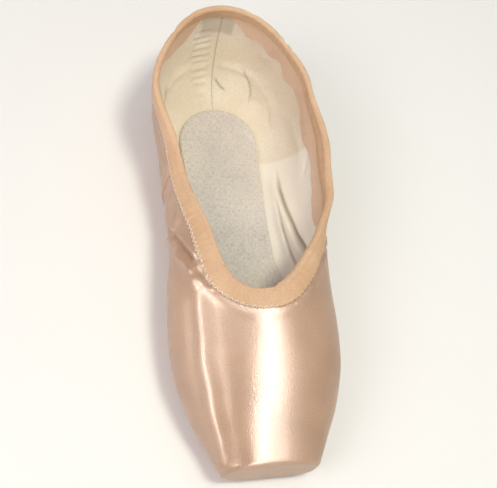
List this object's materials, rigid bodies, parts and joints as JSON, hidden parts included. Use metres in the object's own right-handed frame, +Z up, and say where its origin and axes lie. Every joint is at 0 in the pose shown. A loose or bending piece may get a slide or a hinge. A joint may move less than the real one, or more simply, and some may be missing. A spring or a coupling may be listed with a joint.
{
  "type": "pointe shoe",
  "caption": "Satin pointe shoe, stiff box with a flat platform, soft quarters, bound collar and thin leather sole; stands empty and flat.",
  "frame": {"origin": "on the floor, under the middle of the shoe's box", "axes": "+Z up, -Y from the heel towards the toe's platform, X across the shoe"},
  "size_m": [0.096, 0.2554, 0.0651],
  "materials": {
    "satin": "glossy peach satin",
    "binding_satin": "glossy peach satin, a little more yellow",
    "sole_leather": "tan leather, matt, scored",
    "insole_canvas": "grey beige canvas"
  },
  "bodies": {
    "root": {"upper": "satin", "binding": "binding_satin", "side_seam_band_left": "satin", "side_seam_band_right": "satin", "back_seam_strip": "satin", "outsole": "sole_leather", "insole": "insole_canvas"}
  },
  "joints": []
}
